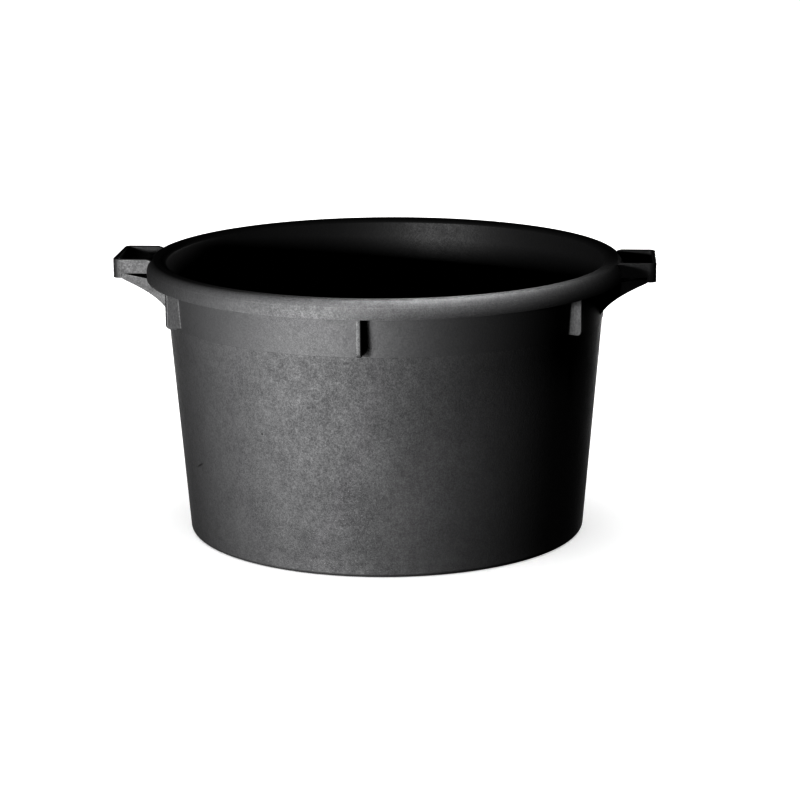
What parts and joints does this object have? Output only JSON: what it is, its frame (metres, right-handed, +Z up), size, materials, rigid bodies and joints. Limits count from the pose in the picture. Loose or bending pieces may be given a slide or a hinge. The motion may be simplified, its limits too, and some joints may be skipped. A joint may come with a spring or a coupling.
{
  "type": "mortar mixing tub",
  "caption": "Round, slightly tapered mixing tub with a flanged and skirted rim, short stacking ribs below it and a box-shaped carrying handle on each side.",
  "frame": {"origin": "centre of the flat base, on the surface that the tub stands on", "axes": "+Z up the tub's axis to the open mouth, +X out through the right-hand handle, -Y to the front"},
  "size_m": [0.6574, 0.582, 0.3375],
  "materials": {
    "wall_plastic": "black polyethylene, satin, fine moulded grain",
    "floor_plastic": "black polyethylene, dull, lightly rubbed",
    "rim_plastic": "black polyethylene, satin, smooth",
    "rib_plastic": "black polyethylene, satin",
    "handle_plastic": "black polyethylene, satin, worn smooth at the edges"
  },
  "bodies": {
    "root": {"tub_floor": "floor_plastic", "base_heel": "floor_plastic", "tub_wall": "wall_plastic", "shoulder_band": "wall_plastic", "rim_flange": "rim_plastic", "rim_skirt": "rim_plastic", "rib_front": "rib_plastic", "rib_front_right": "rib_plastic", "rib_rear_right": "rib_plastic", "rib_rear": "rib_plastic", "rib_rear_left": "rib_plastic", "rib_front_left": "rib_plastic", "left_handle_grip": "handle_plastic", "left_handle_front_cheek": "handle_plastic", "left_handle_rear_cheek": "handle_plastic", "left_handle_front_gusset": "handle_plastic", "left_handle_rear_gusset": "handle_plastic", "left_handle_underside": "handle_plastic", "right_handle_grip": "handle_plastic", "right_handle_front_cheek": "handle_plastic", "right_handle_rear_cheek": "handle_plastic", "right_handle_front_gusset": "handle_plastic", "right_handle_rear_gusset": "handle_plastic", "right_handle_underside": "handle_plastic"}
  },
  "joints": []
}
